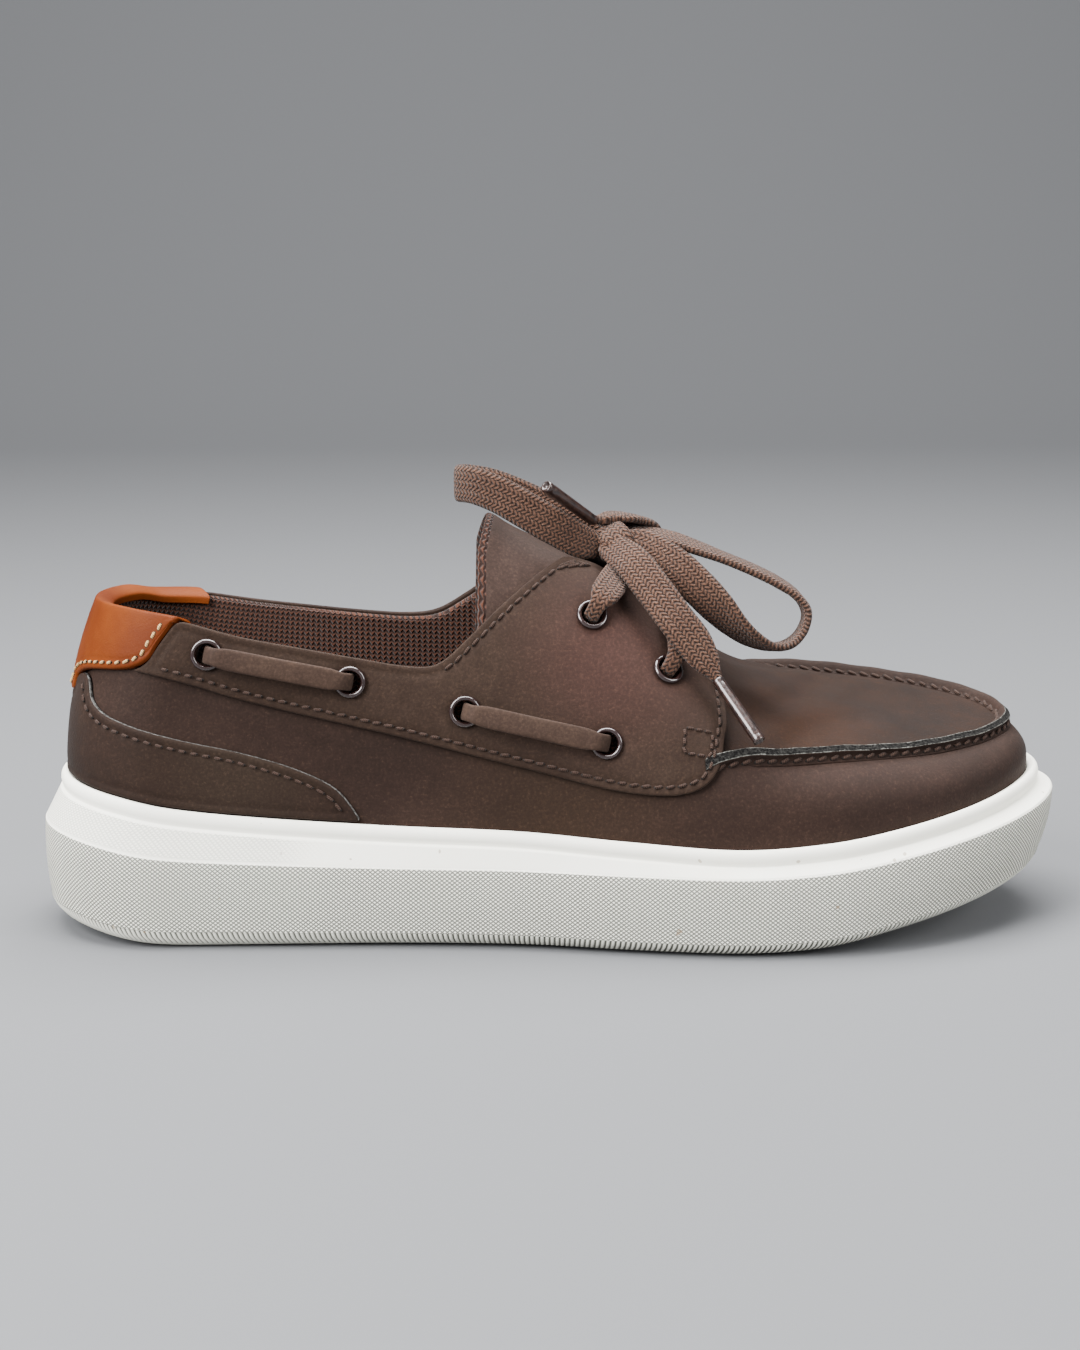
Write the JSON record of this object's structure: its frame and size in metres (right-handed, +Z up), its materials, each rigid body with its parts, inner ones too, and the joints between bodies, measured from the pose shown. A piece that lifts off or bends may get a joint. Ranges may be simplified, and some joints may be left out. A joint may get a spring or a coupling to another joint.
{
  "type": "sneaker",
  "caption": "Low lace-up deck sneaker for the right foot: leather upper with apron seam, laced saddle panels and heel tab on a thick moulded cup sole.",
  "frame": {"origin": "on the ground under the middle of the shoe, the free lace left aside", "axes": "+X towards the toe, +Z up, -Y to the outer side of the right foot"},
  "size_m": [0.2988, 0.1108, 0.1325],
  "materials": {
    "sole_rubber": "matte, moulded",
    "brown_leather": "waxed nubuck, matte",
    "tan_leather": "smooth, semi-matte",
    "sock_fabric": "woven lining",
    "lace_cotton": "flat woven cotton",
    "copper_metal": "dark copper, glossy"
  },
  "bodies": {
    "root": {"aglet_inner": "copper_metal", "aglet_outer": "copper_metal", "cup_sole": "sole_rubber", "eyelet_side_inner_1": "copper_metal", "eyelet_side_inner_2": "copper_metal", "eyelet_side_inner_3": "copper_metal", "eyelet_side_inner_4": "copper_metal", "eyelet_side_outer_1": "copper_metal", "eyelet_side_outer_2": "copper_metal", "eyelet_side_outer_3": "copper_metal", "eyelet_side_outer_4": "copper_metal", "eyelet_throat_inner_1": "copper_metal", "eyelet_throat_inner_2": "copper_metal", "eyelet_throat_outer_1": "copper_metal", "eyelet_throat_outer_2": "copper_metal", "heel_counter": "brown_leather", "heel_tab": "tan_leather", "insole": "sock_fabric", "lace_bar_lower": "lace_cotton", "lace_bar_upper": "lace_cotton", "lace_end_inner": "lace_cotton", "lace_end_outer": "lace_cotton", "lace_knot": "lace_cotton", "lace_loop_front": "lace_cotton", "lace_loop_rear": "lace_cotton", "saddle_inner": "brown_leather", "saddle_outer": "brown_leather", "thong_inner_back": "brown_leather", "thong_inner_front": "brown_leather", "thong_outer_back": "brown_leather", "thong_outer_front": "brown_leather", "tongue": "brown_leather", "upper": "brown_leather"}
  },
  "joints": []
}
